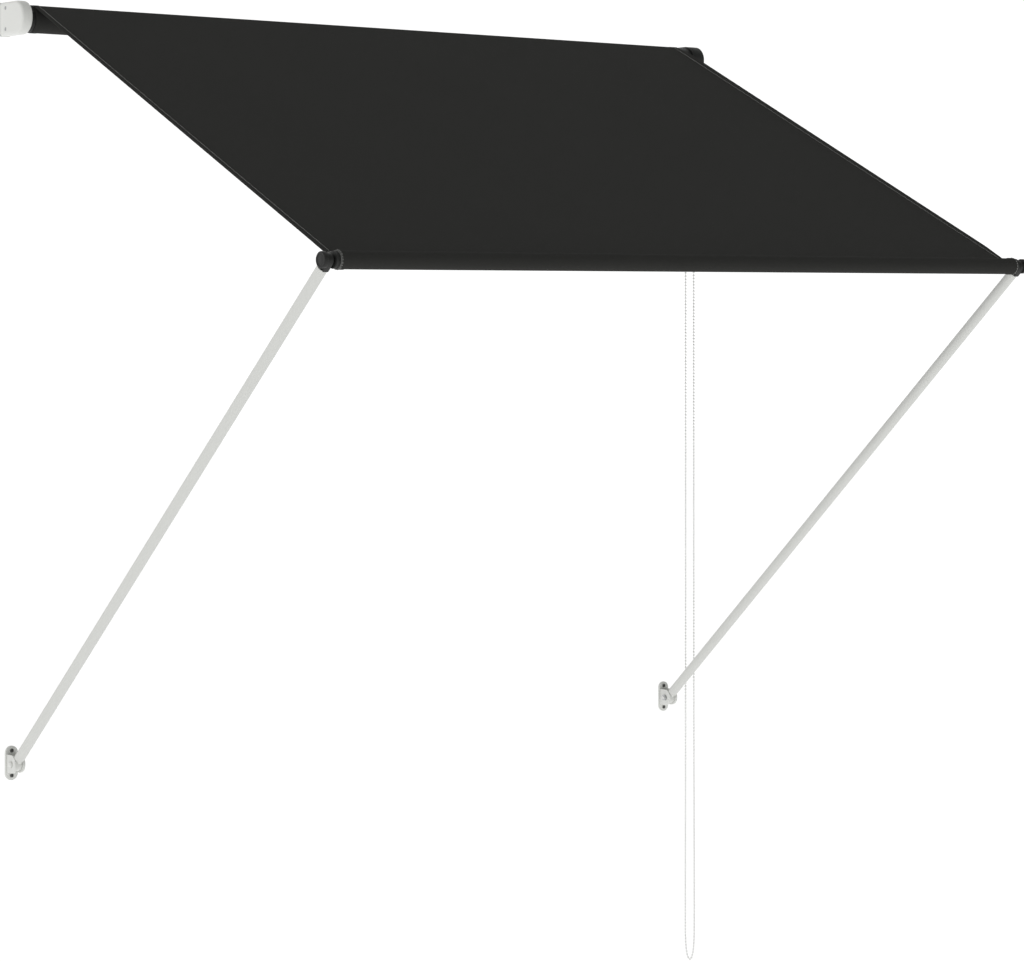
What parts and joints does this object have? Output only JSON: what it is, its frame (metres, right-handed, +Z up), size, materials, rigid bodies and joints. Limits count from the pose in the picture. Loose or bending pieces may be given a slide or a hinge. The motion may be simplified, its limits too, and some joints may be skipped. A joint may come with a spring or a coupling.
{
  "type": "roller awning",
  "caption": "Wall-mounted drop-arm roller awning: dark canvas on a chain-driven roller, front bar in a sleeve, swinging white arms.",
  "frame": {"origin": "on the wall face, level with the roller's axis, midway along the fabric", "axes": "+X along the roller towards the chain end, +Y into the wall, +Z up"},
  "size_m": [1.5426, 0.9772, 1.8257],
  "materials": {
    "white_powder_coat": "satin white powder coat",
    "black_plastic": "fine moulded matte black",
    "anthracite_canvas": "tight plain weave, anthracite",
    "aluminium_tube": "mill finish",
    "zinc_steel": "zinc plated",
    "white_chain_plastic": "smooth white moulded beads"
  },
  "bodies": {
    "wall": {"wall_plate_left": "white_powder_coat", "end_cover_left": "white_powder_coat", "cover_screw_left_upper": "zinc_steel", "cover_screw_left_lower": "zinc_steel", "idler_pin": "zinc_steel", "wall_plate_right": "white_powder_coat", "chain_housing": "black_plastic", "housing_back": "black_plastic", "cover_screw_right_upper": "zinc_steel", "cover_screw_right_lower": "zinc_steel", "wheel_pin": "zinc_steel", "clutch_spring": "zinc_steel", "wall_foot_left": "white_powder_coat", "wall_foot_right": "white_powder_coat", "pivot_bolt_left": "white_powder_coat", "pivot_bolt_right": "white_powder_coat", "pivot_nut_left": "zinc_steel", "pivot_nut_right": "zinc_steel", "bead_chain": "white_chain_plastic", "chain_connector": "white_chain_plastic"},
    "arms": {"arm_tube_left": "white_powder_coat", "arm_tube_right": "white_powder_coat", "arm_fitting_left": "black_plastic", "arm_fitting_right": "black_plastic", "arm_knuckle_left": "white_powder_coat", "arm_knuckle_right": "white_powder_coat"},
    "front_bar": {"front_bar": "aluminium_tube", "bar_sleeve": "anthracite_canvas", "bar_plug_left": "black_plastic", "bar_plug_right": "black_plastic", "end_knob_left": "black_plastic", "end_knob_right": "black_plastic"},
    "canopy": {"canopy": "anthracite_canvas"},
    "roller": {"roller_tube": "aluminium_tube", "fabric_roll": "anthracite_canvas", "idler_plug": "black_plastic", "drive_plug": "black_plastic", "chain_wheel": "black_plastic"}
  },
  "joints": [
    {"name": "arm_swing", "type": "hinge", "parent": "wall", "child": "arms", "pos_m": [0, -0.0188, -1.27131], "axis": [1, 0, 0], "range_deg": [-43.8, 0]},
    {"name": "bar_turn", "type": "hinge", "parent": "arms", "child": "front_bar", "pos_m": [0, -0.96275, -0.4193], "axis": [1, 0, 0], "range_deg": [0, 21.9]},
    {"name": "canopy_follow", "type": "hinge", "parent": "wall", "child": "canopy", "pos_m": [0, -0.046, 0], "axis": [1, 0, 0], "range_deg": [-21.9, 0], "deforming": ["canopy"]},
    {"name": "roller_spin", "type": "hinge", "parent": "wall", "child": "roller", "pos_m": [0, -0.046, 0], "axis": [1, 0, 0], "range_deg": [-2211.9, 0]}
  ],
  "couplings": [
    {"joint": "bar_turn", "follows": "arm_swing", "ratio": -0.5},
    {"joint": "canopy_follow", "follows": "arm_swing", "ratio": 0.5},
    {"joint": "roller_spin", "follows": "arm_swing", "ratio": 50.5}
  ]
}
